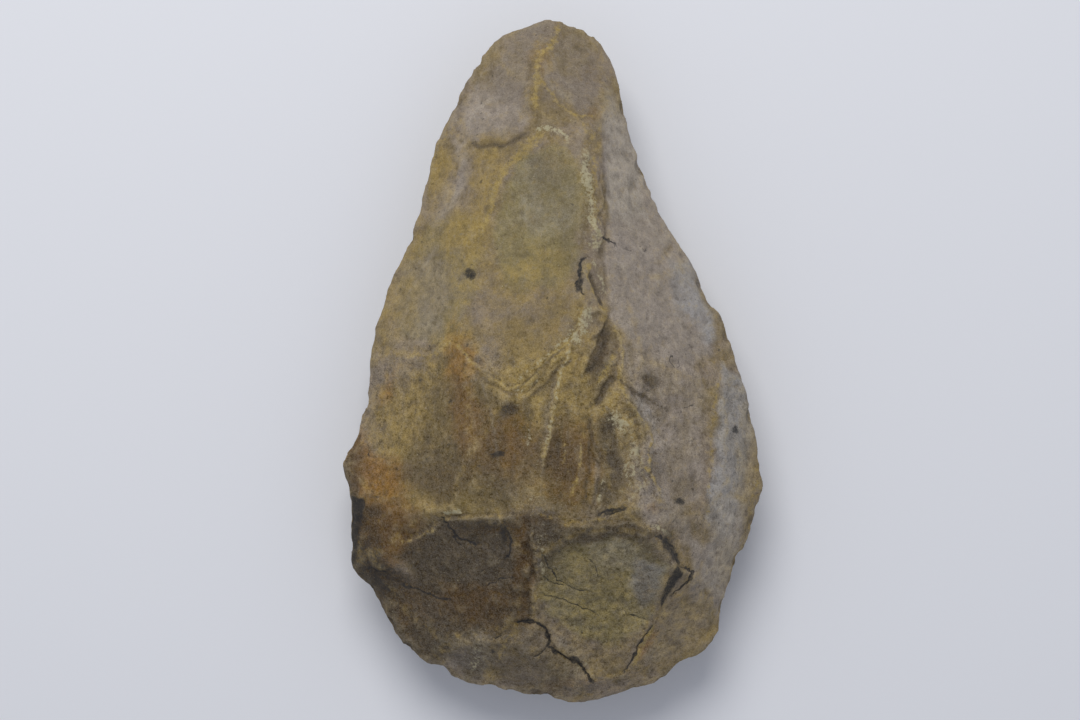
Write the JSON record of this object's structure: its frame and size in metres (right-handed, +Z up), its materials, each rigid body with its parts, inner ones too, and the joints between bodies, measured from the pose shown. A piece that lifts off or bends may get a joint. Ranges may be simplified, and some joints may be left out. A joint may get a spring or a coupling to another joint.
{
  "type": "stone hand axe",
  "caption": "Pear-shaped flaked stone hand axe with a pointed tip, a sharp edge all round and a thick butt, lying on its flatter face.",
  "frame": {"origin": "under the middle of the axe's box, on the surface that it lies on", "axes": "+Y along the axe towards its tip, +X to the right seen from above with the tip away, +Z up through its thickness"},
  "size_m": [0.1048, 0.171, 0.0457],
  "materials": {
    "stone": "dull, weathered brown stone with ochre and grey patina, pale crust and black mineral stains"
  },
  "bodies": {
    "root": {"hand_axe": "stone"}
  },
  "joints": []
}
